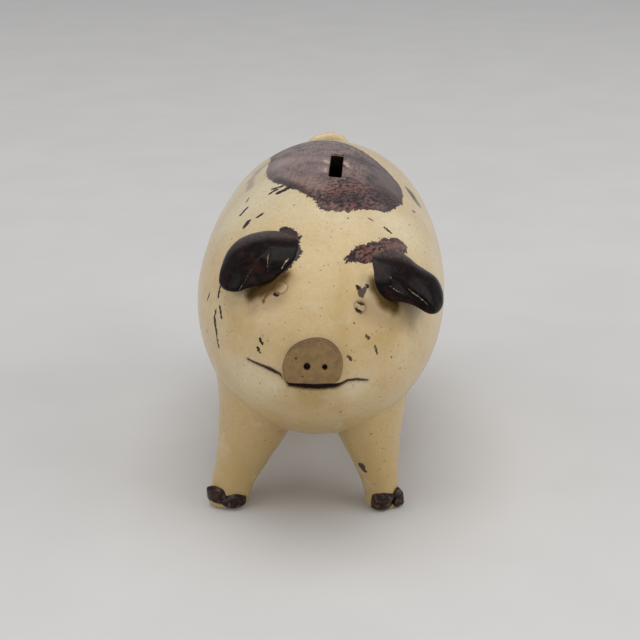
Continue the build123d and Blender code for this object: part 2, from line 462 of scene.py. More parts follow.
# Degrees at which rows close in on the nose and on the rump, outside and inside the wall
NOSE_ROWS = np.arange(1.5, 42, 1.1)
RUMP_ROWS = np.arange(55, 89, 1.2)
INNER_NOSE_ROWS = np.arange(6, 60, 6)
INNER_RUMP_ROWS = np.arange(50, 86, 6)
INNER_TURN_STEP = 6
INNER_ALONG_STEP = 5
# Lines across the slot are spaced on a radius this much smaller than the egg's
SLOT_SAG = 0.4
# How far around the eyes, the small marks and the mouth the grid is split finer
FINE_EYE = 4.2
FINE_MARK = 1.6
FINE_MOUTH = 0.8


def nearest(places, value):
    return int(np.argmin(np.abs(places - value)))


def end_rows(nose, rump):
    """Places along the egg of the rows that close in on its two ends."""
    nose_rows = [-FRONT * math.cos(math.radians(d)) for d in nose]
    return nose_rows, [REAR * math.sin(math.radians(d)) for d in rump]


def slot_turns_at(xs, radius):
    """Turns, on a radius, of the lines along the slot."""
    return [math.degrees(math.asin(x / (radius - SLOT_SAG))) for x in xs]


def outer_lines():
    """Grid places of the outside, and the rows and columns once around the slot's edge."""
    slot_turns = slot_turns_at(slot_edges(SLOT_X, SLOT_HALF_WIDTH, SLOT_ACROSS), RADIUS)
    slot_alongs = slot_edges(SLOT_ALONG, SLOT_HALF_LENGTH, SLOT_LONG)
    turns = lines_between(-180, 180 - 0.8, TURN_STEP, slot_turns)
    nose_rows, rump_rows = end_rows(NOSE_ROWS, RUMP_ROWS)
    alongs = lines_between(nose_rows[-1] + 1, REAR * 0.8, ALONG_STEP, nose_rows + slot_alongs)
    alongs = np.concatenate([alongs[alongs < rump_rows[0] - 0.7], rump_rows])
    row, column = nearest(alongs, slot_alongs[0]), nearest(turns, slot_turns[0])
    last_row, last_column = row + SLOT_LONG, column + SLOT_ACROSS
    rim = [(row, j) for j in range(column, last_column)]
    rim += [(i, last_column) for i in range(row, last_row)]
    rim += [(last_row, j) for j in range(last_column, column, -1)]
    rim += [(i, column) for i in range(last_row, row, -1)]
    return turns, alongs, rim


def inner_lines(rim):
    """Grid places of the inside, and where the slot's rim lies on that grid."""
    rows, columns = [sorted(set(places)) for places in zip(*rim)]
    slot_xs = SLOT_X + SLOT_HALF_WIDTH * np.linspace(-1, 1, len(columns))
    slot_turns = slot_turns_at(slot_xs, RADIUS - WALL)
    slot_alongs = [SLOT_ALONG + SLOT_HALF_LENGTH * t for t in np.linspace(-1, 1, len(rows))]
    turns = lines_between(-180, 179, INNER_TURN_STEP, slot_turns)
    nose_rows, rump_rows = end_rows(INNER_NOSE_ROWS, INNER_RUMP_ROWS)
    fixed = nose_rows + rump_rows + slot_alongs
    alongs = lines_between(-FRONT * 0.45, REAR * 0.7, INNER_ALONG_STEP, fixed)
    row_of = {i: nearest(alongs, along) for i, along in zip(rows, slot_alongs)}
    column_of = {j: nearest(turns, turn) for j, turn in zip(columns, slot_turns)}
    return turns, alongs, [(row_of[i], column_of[j]) for i, j in rim]


def shell_faces(rows, columns, rim):
    """Faces of a grid wrapped around the egg and closed by two end points, open inside the rim."""
    rim_rows, rim_columns = zip(*rim)
    hole_rows = range(min(rim_rows), max(rim_rows))
    hole_columns = range(min(rim_columns), max(rim_columns))

    def at(i, j):
        return i * columns + j % columns

    faces = [
        (at(i, j), at(i, j + 1), at(i + 1, j + 1), at(i + 1, j))
        for i in range(rows - 1) for j in range(columns)
        if not (i in hole_rows and j in hole_columns)
    ]
    nose, rump = rows * columns, rows * columns + 1
    faces += [(nose, at(0, j + 1), at(0, j)) for j in range(columns)]
    faces += [(rump, at(rows - 1, j), at(rows - 1, j + 1)) for j in range(columns)]
    return faces


def finish_outside(verts):
    """Move the outside's corners to the finished skin, and return the painted fields there."""
    local = onto_egg(np.array([v.co for v in verts]))
    normal = egg_normal(local)
    plain = to_world(local)
    mouth_depth, mouth_field = mouth_shape(local)
    eye_depth, eye_field = eye_shape(to_world(local + normal * wobble(local)[:, None]))
    lift = wobble(local) - mouth_depth - eye_depth
    lift -= slot_drop(local) + HOLLOW_DEPTH * (1 - smoothstep(*HOLLOW_REACH, snout_distance(plain)))
    for vert, point in zip(verts, to_world(local + normal * lift[:, None])):
        vert.co = point
    fields = {"patch": patch_field(local), "mouth": mouth_field, "ring": eye_field}
    fields.update(mark_fields(plain), tone=tone_field(plain))
    return fields


def slot_wall(bm, upper):
    """Faces straight down from the corners of the slot's lip, and the corners where they end."""
    lip = np.array([v.co for v in upper])
    local = to_egg(lip)
    inner_up = np.sqrt(np.maximum((RADIUS - WALL) ** 2 - local[:, 0] ** 2, 0))
    under = onto_egg(np.stack([local[:, 0], local[:, 1], inner_up], 1), WALL)
    under[:, :2] = local[:, :2]
    under = to_world(under)
    for step in np.linspace(0, 1, SLOT_DOWN + 1)[1:]:
        lower = [bm.verts.new(p) for p in lip + (under - lip) * step]
        for k in range(len(upper)):
            m = (k + 1) % len(upper)
            bm.faces.new((upper[k], upper[m], lower[m], lower[k]))
        upper = lower
    return upper


def inner_wall(bm, lower, rim):
    """The inside: coarse, and joined to the lower edge of the slot's wall."""
    turns, alongs, rim = inner_lines(rim)
    rows, columns = len(alongs), len(turns)
    ends = [[0, -FRONT + WALL, 0], [0, REAR - WALL, 0]]
    local = np.vstack([onto_egg(egg_points(turns[None, :], alongs[:, None]), WALL), ends])
    verts = [bm.verts.new(p) for p in to_world(local)]
    edge = [verts[i * columns + j] for i, j in rim]
    for vert, slot_vert in zip(edge, lower):
        vert.co = slot_vert.co
    for first, *others in shell_faces(rows, columns, rim):
        bm.faces.new([verts[k] for k in (first, *reversed(others))])
    bmesh.ops.remove_doubles(bm, verts=lower + edge, dist=1e-4)
    bmesh.ops.delete(bm, geom=[v for v in bm.verts if not v.link_faces], context="VERTS")


def body_mesh():
    """Points, faces and painted fields of the hollow body."""
    turns, alongs, rim = outer_lines()
    rows, columns = len(alongs), len(turns)
    grid = egg_points(turns[None, :], alongs[:, None])
    x, along = slot_round(grid[:, 0], grid[:, 1])
    on_top = grid[:, 2:] > 0
    grid[:, :2] = np.where(on_top, np.stack([x, along], 1), grid[:, :2])
    grid = np.vstack([onto_egg(grid), [[0, -FRONT, 0], [0, REAR, 0]]])
    faces = shell_faces(rows, columns, rim)
    bm = bmesh.new()
    used = sorted({k for face in faces for k in face})
    number = {k: n for n, k in enumerate(used)}
    verts = [bm.verts.new(grid[k]) for k in used]
    for face in faces:
        bm.faces.new([verts[number[k]] for k in face])
    refine(bm)
    outside = list(bm.verts)
    fields = finish_outside(outside)
    lip = [outside[number[i * columns + j]] for i, j in rim]
    inner_wall(bm, slot_wall(bm, lip), rim)

    bm.verts.index_update()
    points = np.array([v.co for v in bm.verts])
    faces = [tuple(v.index for v in f.verts) for f in bm.faces]
    order = [v.index for v in outside]
    bm.free()
    for name, values in fields.items():
        fields[name] = np.full(len(points), FAR)
        fields[name][order] = values
    fields["tone"] = np.maximum(fields["tone"], -1)
    fields["inside"] = np.ones(len(points))
    fields["inside"][order] = 0
    return points, faces, fields


def refine(bm):
    """Split the body's grid finer where the mouth, the eyes and the small marks are."""
    zones = [(skin(turn, along)[0][0],) * 2 + (FINE_EYE,) for turn, along in EYES]
    zones += [(a, b, half + FINE_MARK) for kind, a, b, half in mark_lines() if kind not in SOFT_KINDS]
    for _ in range(2):
        bm.verts.ensure_lookup_table()
        local = np.array([v.co for v in bm.verts])
        points = to_world(onto_egg(local))
        distance, place = line_distance(local[:, [0, 2]], MOUTH)
        fine = (local[:, 1] < MOUTH_ENDS) & (distance < 2.4 * flow(MOUTH_HALF, place) + FINE_MOUTH)
        for a, b, reach in zones:
            fine |= segment_distance(points, a, b) < reach
        picked = {bm.verts[i] for i in np.nonzero(fine)[0]}
        edges = [e for e in bm.edges if e.verts[0] in picked and e.verts[1] in picked]
        bmesh.ops.subdivide_edges(bm, edges=edges, cuts=1, use_grid_fill=True)


def make_body(material):
    points, faces, fields = body_mesh()
    local = to_egg(points)
    fields["round"] = unrolled(local)
    fields["along"] = local[:, 1]
    make_piece("body", points, faces, material, fields)


def plain_fields(points, near=()):
    """Painted fields for a cream piece other than the body."""
    fields = {name: np.full(len(points), FAR) for name in ("patch", "mouth", "ring", *MARKS)}
    fields["tone"] = np.zeros(len(points))
    for kind, place, half in near:
        inside = half - np.linalg.norm(points - (MIDDLE + np.array(place)), axis=1)
        fields[kind] = np.maximum(fields[kind], inside)
    fields["inside"] = np.zeros(len(points))
    fields["round"] = points[:, 0]
    fields["along"] = points[:, 1]
    return fields


# --- Legs: each rises from a flat sole and flares until it runs into the belly's skin ---
# foot and radius; the (turn, along) where its middle meets the body and how far it spreads
# there; the length of its fillet on the outer and inner side; and a seed for its dents
LEGS = {
    "front_right_leg": ((-35.7, -41), 8.1, (218.5, -41), (24, 20), (4, 3), 1),
    "front_left_leg": ((26, -41), 6.6, (149, -41), (21, 19), (4, 3), 2),
    "rear_right_leg": ((-31, 43), 7.4, (213, 42), (27, 20), (6, 5), 3),
    "rear_left_leg": ((25, 43), 7.0, (148, 42), (27, 20), (6, 5), 4),
}
LEG_AROUND = 112
LEG_RINGS = 64
SOLE_EDGE = 0.9
LEG_MARKS = {
    "front_right_leg": [("spot", (-31, -52, -46), 0.35), ("spot", (-37, -50, -50.5), 0.25)],
    "front_left_leg": [
        ("smudge", (17.6, -50, -54.5), 1.7), ("smudge", (18.6, -50, -57), 1.3),
        ("spot", (26.5, -50, -52.5), 0.3), ("spot", (30.3, -48.5, -58.5), 0.3),
    ],
}


def leg_rings(foot, radius, meeting, spread, fillet, seed):
    """Rings up a leg, and the point that closes it inside the wall."""
    around = circle(LEG_AROUND)
    heading = np.stack([np.cos(around), np.sin(around), 0 * around], 1)
    centre = np.array([MIDDLE[0] + foot[0], MIDDLE[1] + foot[1], 0])
    sole = centre + heading * radius
    sole += heading * (0.35 * lumpy(heading, 0.9, seed))[:, None]
    heart, heart_normal = skin(*meeting)
    turn = meeting[0] - spread[0] * np.cos(around)
    along = meeting[1] + spread[1] * np.sin(around)
    end, normal = skin(turn, along)
    outwards = end - heart
    outwards -= normal * (outwards * normal).sum(1)[:, None]
    outwards = unit(outwards)
    axis = unit(heart[0] - centre)
    height = (end[:, 2] - sole[:, 2])[:, None]
    start = sole + np.array([0, 0, SOLE_EDGE])
    up = start + axis * height * 0.36
    outer = (1 + np.sign(heart[0, 0]) * np.cos(around)) / 2
    back = end - outwards * (fillet[0] * outer + fillet[1] * (1 - outer))[:, None]
    back[:, 2] -= 0.25 * height[:, 0]
    rings = [centre + (sole - centre) * (1 - SOLE_EDGE / radius)]
    edge = 0.25 * SOLE_EDGE
    rings.append(centre + (sole - centre) * (1 - edge / radius) + (0, 0, edge))
    for t in np.linspace(0, 1, LEG_RINGS):
        ring = (1 - t) ** 3 * start + 3 * (1 - t) ** 2 * t * up
        ring += 3 * (1 - t) * t**2 * back + t**3 * end
        out = unit(ring - (centre + axis * ((ring - centre) @ axis)[:, None]))
        dent = 0.4 * lumpy(ring, 9, seed) + 0.12 * lumpy(ring, 3.5, seed + 3)
        rings.append(ring + out * (dent * math.sin(math.pi * min(t * 1.4, 1)))[:, None])
    rings.append(end + outwards * 0.5 - normal * 0.35)
    rings.append(end - outwards * 4 - normal * 3)
    return np.array(rings), heart[0] - heart_normal[0] * 3.5, centre


def make_legs(material):
    for node, leg in LEGS.items():
        rings, top, sole = leg_rings(*leg)
        points, faces = skinned(rings, sole, top)
        fields = plain_fields(points, LEG_MARKS.get(node, ()))
        make_piece(node, points, faces, material, fields)


# --- Toes: small faceted pellets of dark glaze around each foot ---
# foot, then for the outer and inner toe: heading in degrees from +X, height of its middle, and
# its half sizes outwards, around the foot and upwards
TOES = {
    "front_right": ((238, 5.6, (2.4, 5.0, 3.5)), (295, 4.1, (2.7, 5.3, 3.5))),
    "front_left": ((338, 4.2, (2.6, 3.8, 3.9)), (267, 4.4, (2.9, 5.8, 4.0))),
    "rear_right": ((222, 4.4, (2.6, 4.4, 3.4)), (300, 3.8, (2.6, 4.6, 3.3))),
    "rear_left": ((326, 4.2, (2.6, 4.2, 3.6)), (248, 3.8, (2.6, 4.5, 3.4))),
}
TOE_PROUD = 0.2
TOE_FACETS = 11
TOE_RINGS = 27
TOE_AROUND = 48
TOE_SQUARENESS = 0.82


def toe_points(heading, height, half, foot, radius, seed):
    """A pellet: a squashed ball with flats struck on it, wrapped around the foot's edge."""
    rng = np.random.default_rng(seed)
    tilt = np.linspace(-math.pi / 2, math.pi / 2, TOE_RINGS + 2)[1:-1, None]
    around = circle(TOE_AROUND)
    rings = [np.cos(tilt) * np.cos(around), np.cos(tilt) * np.sin(around), np.sin(tilt) + 0 * around]
    ball = np.vstack([np.stack(rings, axis=-1).reshape(-1, 3), [[0, 0, -1]], [[0, 0, 1]]])
    ball = np.sign(ball) * np.abs(ball) ** TOE_SQUARENESS
    for _ in range(TOE_FACETS):
        flat = rng.normal(size=3) + (0.8, 0, 0.4)
        flat /= np.linalg.norm(flat)
        over = np.maximum(ball @ flat - rng.uniform(0.66, 0.9), 0)
        ball -= over[:, None] * flat
    ball += 0.03 * lumpy(ball, 0.4, seed)[:, None] * ball
    ball[:, 2] = np.maximum(ball[:, 2], -0.88)
    local = ball * half
    reach = radius + TOE_PROUD + local[:, 0]
    turn = math.radians(heading) + local[:, 1] / radius
    x = MIDDLE[0] + foot[0] + reach * np.cos(turn)
    y = MIDDLE[1] + foot[1] + reach * np.sin(turn)
    return np.stack([x, y, height + local[:, 2]], axis=1)


def make_toes(material):
    for index, (foot_name, toes) in enumerate(TOES.items()):
        foot, radius = LEGS[foot_name + "_leg"][:2]
        for side, (heading, height, half) in zip(("outer", "inner"), toes):
            seed = 10 + 2 * index + (side == "inner")
            points = toe_points(heading, height, np.array(half), foot, radius, seed)
            rings = points[:-2].reshape(TOE_RINGS, TOE_AROUND, 3)
            points, faces = skinned(rings, points[-2], points[-1])
            make_piece(f"{foot_name}_{side}_toe", points, faces, material)


# --- Snout: a D of bare clay with two pierced nostrils ---
SNOUT_X = 0.1
SNOUT_RISE = 0.7
SNOUT_REACH = 87.2
SNOUT_TIP_UP = math.radians(8)
SNOUT_RADIUS = 10.7
SNOUT_CHIN = 5.8
SNOUT_EDGE = 0.8
SNOUT_DEPTH = 7
SNOUT_AROUND = 240
SNOUT_RINGS = 56
# Across, up and radius
NOSTRILS = [(-1.7, 0.5, 1.15), (4.6, 0.4, 0.9)]
PRICKS = [(-5.6, 3.4, 0.4), (-3.2, -3.1, 0.3)]


def snout_outline(angle):
    """Distance from the D's centre to its edge, with softened corners."""
    chin = SNOUT_CHIN / np.maximum(-np.sin(angle), 1e-3)
    corner = 11
    edge = (SNOUT_RADIUS**-corner + chin**-corner) ** (-1 / corner)
    skew = 0.14 * np.cos(angle) * np.maximum(np.sin(angle), 0)
    return edge * (1 + skew + 0.012 * np.sin(3 * angle + 0.6) + 0.01 * np.sin(5 * angle + 2))


def make_snout(material):
    around = circle(SNOUT_AROUND)
    edge = snout_outline(around)
    across = np.array([1.0, 0, 0])
    out = np.array([0, -math.cos(SNOUT_TIP_UP), math.sin(SNOUT_TIP_UP)])
    up = np.array([0, math.sin(SNOUT_TIP_UP), math.cos(SNOUT_TIP_UP)])
    centre = MIDDLE + (SNOUT_X, -SNOUT_REACH, SNOUT_RISE)
    profile = [(f, 0.0) for f in np.linspace(0.02, 1, SNOUT_RINGS)]
    profile += [(1.0, -depth) for depth in (0.6, 1.4, 2.4, 3.6, 5, SNOUT_DEPTH)]
    rings = []
    for fraction, back in profile:
        reach = edge * fraction - (SNOUT_EDGE if back == 0 else 0) * fraction
        u, v = reach * np.cos(around), reach * np.sin(around)
        rings.append(centre + np.outer(u, across) + np.outer(v, up) + back * out)
    rounded = snout_edge_rings(centre, edge, around, across, up, out)
    rings = np.array(rings[:SNOUT_RINGS] + rounded + rings[SNOUT_RINGS:])
    flat = rings - centre
    u, v = flat @ across, flat @ up
    depth = np.zeros(u.shape)
    on_face = flat @ out > -0.01
    for nu, nv, radius in NOSTRILS:
        hole = np.hypot(u - nu, (v - nv) / 1.15)
        depth += 2.6 * (1 - smoothstep(0.55 * radius, 1.2 * radius, hole))
        depth -= 0.12 * np.exp(-(((hole - 1.7 * radius) / 0.6) ** 2))
    for nu, nv, radius in PRICKS:
        depth += 0.35 * (1 - smoothstep(0.3 * radius, 1.3 * radius, np.hypot(u - nu, v - nv)))
    dome = 0.35 * (1 - (np.hypot(u, v) / SNOUT_RADIUS) ** 2)
    dents = lumpy(rings.reshape(-1, 3), 4.5, 7).reshape(u.shape) * 0.16
    dents += lumpy(rings.reshape(-1, 3), 1.4, 8).reshape(u.shape) * 0.05
    rings += ((dome + dents - depth) * on_face)[..., None] * out
    middle = centre + out * 0.4
    points, faces = skinned(rings, middle, centre - out * SNOUT_DEPTH)
    flat = points - centre
    u, v = flat @ across, flat @ up
    rim = snout_outline(np.arctan2(v, u)) - np.hypot(u, v)
    hole = np.min([np.hypot(u - a, v - b) - r for a, b, r in NOSTRILS + PRICKS], axis=0)
    fields = {"rim": rim, "hole": hole, "height": v}
    make_piece("snout", points, faces, material, fields)


def snout_edge_rings(centre, edge, around, across, up, out):
    """Rings that round the pad's front edge."""
    rings = []
    for degrees in (22, 45, 68, 90):
        a = math.radians(degrees)
        reach = edge - SNOUT_EDGE * (1 - math.sin(a))
        drop = SNOUT_EDGE * (1 - math.cos(a))
        u, v = reach * np.cos(around), reach * np.sin(around)
        rings.append(centre + np.outer(u, across) + np.outer(v, up) - drop * out)
    return rings


# --- Ears: thick leaves of clay, folded lengthwise, that flop outwards ---
# Root (turn, along) and tip from the middle. Evenly from root to tip: how far the leaf reaches
# across to its rear and front edge, its bulge and its half thickness. The lower lobe drops by
# "step" along the fold. Folds and cream lines are (share of the length, place across the leaf);
# each place of a cream line, partly wear and partly painted highlight, also has a half width.
EARS = {
    "right_ear": {
        "root": (-6.5, -52.5), "tip": (-34.8, -60.8, 22.5), "blunt": 0.7, "seed": 21,
        "rear": [5, 12, 14.5, 15.8, 16.4, 15.9, 13.5, 10.4, 7],
        "front": [4, 9.5, 11.2, 12, 12.4, 11.5, 10.2, 10.6, 10],
        "bulge": [0, 3.2, 4.4, 3.2, 0], "thick": [3.2, 2.9, 2.6, 2.4, 2.1],
        "fold": [(0.34, -2.2), (0.48, -4.4), (0.61, -5.7), (0.72, -7.8), (0.88, -9.6)], "step": 1.1,
        "wear_and_glint": [
            ((0.58, -5.2), -0.05), ((0.65, -6.4), 0.04), ((0.76, -8.4), -0.02), ((0.86, -9.4), 0.05),
            None,
            ((0.39, -2.9), 0), ((0.43, -4.9), 0.18), ((0.46, -7.2), 0.03), ((0.49, -9.8), 0), None,
            ((0.23, -7.7), 0.05), ((0.27, -8.5), 0.25), ((0.31, -9.5), 0), ((0.35, -10.6), 0.12),
        ],
    },
    "left_ear": {
        "root": (33, -53.5), "tip": (46.8, -53, 12.3), "blunt": 0.75, "seed": 22,
        "rear": [4.5, 11, 13, 12.5, 10.6, 10.1, 9.8, 9.3, 8.8],
        "front": [7.5, 12.2, 13, 12.4, 11, 9.8, 9.3, 9.2, 9],
        "bulge": [0, 3.0, 4.2, 3.4, 0], "thick": [3.4, 3.1, 2.9, 2.7, 2.4],
        "fold": [(0.24, -5.8), (0.42, -6.8), (0.57, -7.4), (0.73, -7.4), (0.88, -7.4)],
        "step": 0.8,
        "wear_and_glint": [
            ((0.29, -9.8), 0), ((0.38, -9.9), 0.1), ((0.46, -9.3), 0), None,
            ((0.23, -6), 0.02), ((0.27, -7), 0.1), ((0.31, -7.6), 0), None,
            ((0.46, -7), 0), ((0.57, -7.4), 0.07), ((0.7, -7.4), 0.08), ((0.82, -7.5), 0),
        ],
    },
}
EAR_RINGS = 120
EAR_AROUND = 140
EAR_SINK = 3.5
EAR_SQUARENESS = 0.85
EAR_DROOP = 2.6


def wear_and_glint_field(flat, length, wear_and_glint):
    """Distance inside an ear's cream lines, partly wear and partly painted highlight, each a run of
    places with half widths, split by None.
    """
    field = np.full(len(flat), FAR)
    for start, end in zip(wear_and_glint[:-1], wear_and_glint[1:]):
        if start and end:
            line = [(s * length, x) for s, x in (start[0], end[0])]
            distance, place = line_distance(flat, line)
            field = np.maximum(field, start[1] + (end[1] - start[1]) * place - distance)
    return field


def fold_side(flat, length, fold):
    """How far places on the leaf lie in front of its fold."""
    s, x = np.array(fold, float).T
    return np.interp(flat[:, 0], s * length, x) - flat[:, 1]


def ear_mesh(ear):
    root, normal = [value[0] for value in skin(*ear["root"])]
    start = root - normal * EAR_SINK
    tip = MIDDLE + np.array(ear["tip"])
    length = np.linalg.norm(tip - start)
    reach = (tip - start) / length
    turn, place = ear["root"]
    down = skin(turn, place + 1)[0][0] - skin(turn, place - 1)[0][0]
    across = unit(down - reach * (down @ reach))
    off = np.cross(reach, across)
    off *= np.sign(off @ normal)
    around = circle(EAR_AROUND)
    w, h = [np.sign(v) * np.abs(v) ** EAR_SQUARENESS for v in (np.cos(around), np.sin(around))]
    rings, places, painted_sheen = [], [], []
    for t in np.linspace(0, 1, EAR_RINGS):
        s = 1 - (1 - t) ** 1.5
        tip_round = math.sqrt(max(1 - (max(s - ear["blunt"], 0) / (1 - ear["blunt"])) ** 2, 0.0004))
        rear, front = flow(ear["rear"], [s])[0], flow(ear["front"], [s])[0]
        side = w * np.where(w > 0, rear, front) * tip_round
        thick = flow(ear["thick"], [s])[0] * tip_round**0.6
        centre = start + (tip - start) * s + off * flow(ear["bulge"], [s])[0]
        droop = -EAR_DROOP * np.abs(w) ** 2.2 * math.sin(math.pi * min(s * 0.9 + 0.15, 1))
        flat = np.stack([np.full(EAR_AROUND, s * length), side], 1)
        ahead = fold_side(flat, length, ear["fold"])
        begin = ear["fold"][0][0]
        fade = smoothstep(begin, begin + 0.25, s) * (1 - smoothstep(0.93, 1, s))
        fade = fade * np.sqrt(np.maximum(h, 0))
        fall = smoothstep(-1.1, 1, ahead) * (1 - 0.75 * np.clip(ahead / (front - 2), 0, 1))
        ridge = 0.15 * np.exp(-(((ahead + 1) / 0.9) ** 2))
        rise = thick * h + droop + (ridge - ear["step"] * fall) * fade
        rings.append(centre + np.outer(side, across) + np.outer(rise, off))
        # The cream lines stay off the underside, and a painted sheen lightens the glaze near the root and
        # along the rear edge
        places.append(np.where(h > -0.1, 1, -9)[:, None] * flat)
        painted_sheen.append(s + 0.15 - 0.75 * smoothstep(-0.1, 0.7, w))
    rings = np.array(rings)
    flat = rings.reshape(-1, 3)
    out = rings - rings.mean(1)[:, None]
    out /= np.maximum(np.linalg.norm(out, axis=2), 1e-6)[..., None]
    dents = 0.35 * lumpy(flat, 8, ear["seed"]) + 0.05 * lumpy(flat, 2.2, ear["seed"] + 5)
    rings += out * dents.reshape(rings.shape[:2])[..., None]
    points, faces = skinned(rings, start - reach * 0.5, tip + reach * 0.05)
    places = np.vstack([*places, [[0, 0], [length, 0]]])
    fields = {"painted_sheen": [*np.ravel(painted_sheen), 0, 1], "wear_and_glint": wear_and_glint_field(places, length, ear["wear_and_glint"])}
    return points, faces, fields


def make_ears(material):
    for node, ear in EARS.items():
        points, faces, fields = ear_mesh(ear)
        make_piece(node, points, faces, material, fields)


# --- Tail: a rolled strip that curls over the rump ---
TAIL_ROUTE = [
    (3.4, 110, 13), (5.6, 111.5, 22), (6.6, 111.8, 29.6), (4.2, 110.6, 35.9), (-1.8, 108.8, 37.7),
    (-7.8, 107, 36.1), (-10.2, 105.8, 31.6), (-7.4, 105.2, 28),
]
TAIL_RADIUS = [3.8, 3.1, 2.8, 2.7, 2.6, 2.5, 2.2, 1.4]
TAIL_FLATNESS = (1.08, 0.92)
TAIL_RINGS = 90
TAIL_AROUND = 40


def make_tail(material):
    places = np.linspace(0, 1, TAIL_RINGS)
    route = MIDDLE + flow(TAIL_ROUTE, places)
    radius = flow(TAIL_RADIUS, places)
    radius *= np.sqrt(np.clip(1 - ((places - 0.94) / 0.06).clip(0) ** 2, 0.003, 1))
    around = circle(TAIL_AROUND)[:, None]
    forward = unit(np.gradient(route, axis=0))
    side = unit(np.cross(forward, (0, 1, 0.2)))
    up = np.cross(side, forward)
    wide, thick = TAIL_FLATNESS
    ring = side[:, None] * np.cos(around) * wide + up[:, None] * np.sin(around) * thick
    rings = route[:, None] + ring * radius[:, None, None]
    dents = 0.25 * lumpy(rings.reshape(-1, 3), 4, 31).reshape(rings.shape[:2])
    rings += ring * dents[..., None]
    points, faces = skinned(rings, route[0] - forward[0] * 0.5, route[-1] + forward[-1] * 0.1)
    make_piece("tail", points, faces, material, plain_fields(points))


# --- Materials ---
class Value:
    """A value in a node tree, which can be multiplied, added to and subtracted from."""

    def __init__(self, shader, socket):
        self.shader = shader
        self.socket = socket

    def __mul__(self, other):
        return self.shader.math("MULTIPLY", self, other)

    def __add__(self, other):
        return self.shader.math("ADD", self, other)

    def __sub__(self, other):
        return self.shader.math("SUBTRACT", self, other)


class Shader:
    """A material's node tree, with short calls for the nodes that the glazes use."""

    def __init__(self, name):
        self.material = bpy.data.materials.new(name)
        self.material.use_nodes = True
        self.tree = self.material.node_tree
        self.surface = self.tree.nodes["Principled BSDF"]
        metres = self.node("ShaderNodeTexCoord", "Object", {})
        self.place = self.node("ShaderNodeVectorMath", 0, {0: metres, "Scale": 1 / MM}, operation="SCALE")

    def feed(self, socket, value):
        """Link a value to a socket, or set the socket to a number, a vector or a colour."""
        if isinstance(value, Value):
            self.tree.links.new(value.socket, socket)
        else:
            socket.default_value = (*value, 1) if socket.type == "RGBA" else value

    def node(self, kind, output, inputs, **settings):
        """An output of a new node, after feeding its inputs by name or number."""
        node = self.tree.nodes.new(kind)
        for name, value in settings.items():
            setattr(node, name, value)
        for name, value in inputs.items():
            self.feed(node.inputs[name], value)
        return Value(self, node.outputs[output])

    def math(self, operation, a, b):
        return self.node("ShaderNodeMath", 0, {0: a, 1: b}, operation=operation)

    def field(self, name):
        return self.node("ShaderNodeAttribute", "Fac", {}, attribute_name=name)

    def joined(self, x, y, z):
        return self.node("ShaderNodeCombineXYZ", 0, {0: x, 1: y, 2: z})

    def height(self):
        return self.node("ShaderNodeSeparateXYZ", "Z", {0: self.place})

    def stretch(self, scale, degrees, place):
        """A place turned about its third axis, and then divided by a size on each axis."""
        rotation = (0, 0, math.radians(degrees))
        turned_place = self.node("ShaderNodeMapping", 0, {"Vector": place, "Rotation": rotation})
        scales = [1 / size for size in scale]
        return self.node("ShaderNodeMapping", 0, {"Vector": turned_place, "Scale": scales})

    def noise(self, size, detail=3, rough=0.55, place=None):
        inputs = {"Vector": place or self.place, "Scale": 1 / size, "Detail": detail, "Roughness": rough}
        return self.node("ShaderNodeTexNoise", "Fac", inputs)

    def cells(self, size, output="Distance", feature="F1"):
        inputs = {"Vector": self.place, "Scale": 1 / size}
        return self.node("ShaderNodeTexVoronoi", output, inputs, feature=feature)

    def band(self, value, low, high, start=0.0, end=1.0):
        """Smoothly from start to end as the value goes from low to high."""
        inputs = dict(enumerate((value, low, high, start, end)))
        return self.node("ShaderNodeMapRange", 0, inputs, interpolation_type="SMOOTHSTEP")

    def blend(self, amount, a, b):
        return self.node("ShaderNodeMix", 2, {0: amount, 6: a, 7: b}, data_type="RGBA")

    def coats(self, color, *coats):
        """A colour under coats, each an amount and a colour, the lowest first."""
        for amount, coat in coats:
            color = self.blend(amount, color, coat)
        return color

    def bump(self, height, distance):
        return self.node("ShaderNodeBump", 0, {"Height": height, "Distance": distance * MM})

    def finish(self, color, roughness, **others):
        """The material, when its surface has been fed."""
        for name, value in {"Base_Color": color, "Roughness": roughness, **others}.items():
            self.feed(self.surface.inputs[name.replace("_", " ")], value)
        return self.material


CREAM = (0.605, 0.47, 0.258)
WARM = (0.585, 0.43, 0.222)
PALE = (0.70, 0.60, 0.40)
OCHRE = (0.46, 0.31, 0.11)
MILKY = (0.58, 0.50, 0.34)
SPECK = (0.16, 0.08, 0.035)
PAINT_DARK = (0.025, 0.016, 0.017)
PAINT_THIN = (0.27, 0.18, 0.16)
PAINT_PALE_AND_SHEEN = (0.34, 0.25, 0.23)
PAINT_THICK = (0.115, 0.072, 0.067)
PAINT_SLATE = (0.112, 0.08, 0.08)
PAINT_RED = (0.2, 0.088, 0.072)
PAINT_ROSE = (0.31, 0.19, 0.16)
PAINT_ROOT = (0.06, 0.04, 0.037)
TAN = (0.42, 0.29, 0.14)
HAZE_MAUVE = (0.2, 0.13, 0.15)
# Colour of the soft painted shade below the ears
UNDER_EAR_SHADE_OLIVE = (0.18, 0.11, 0.032)
# Colour of the painted shadow in the creases under the ears
EAR_CREVICE_SHADOW_BROWN = (0.065, 0.036, 0.01)
# Kind, colour and how much it covers, the lowest first
MARK_TINTS = [
    ("clay", (0.13, 0.08, 0.035), 0.9), ("smudge", (0.038, 0.015, 0.022), 0.9),
    ("rust", (0.14, 0.05, 0.013), 0.9), ("spot", (0.014, 0.007, 0.006), 1.0),
]


def ragged(s, field, noise, amount):
    """A field in millimetres whose edge a noise pushes in and out by about the given amount."""
    return s.field(field) + (noise - 0.5) * amount


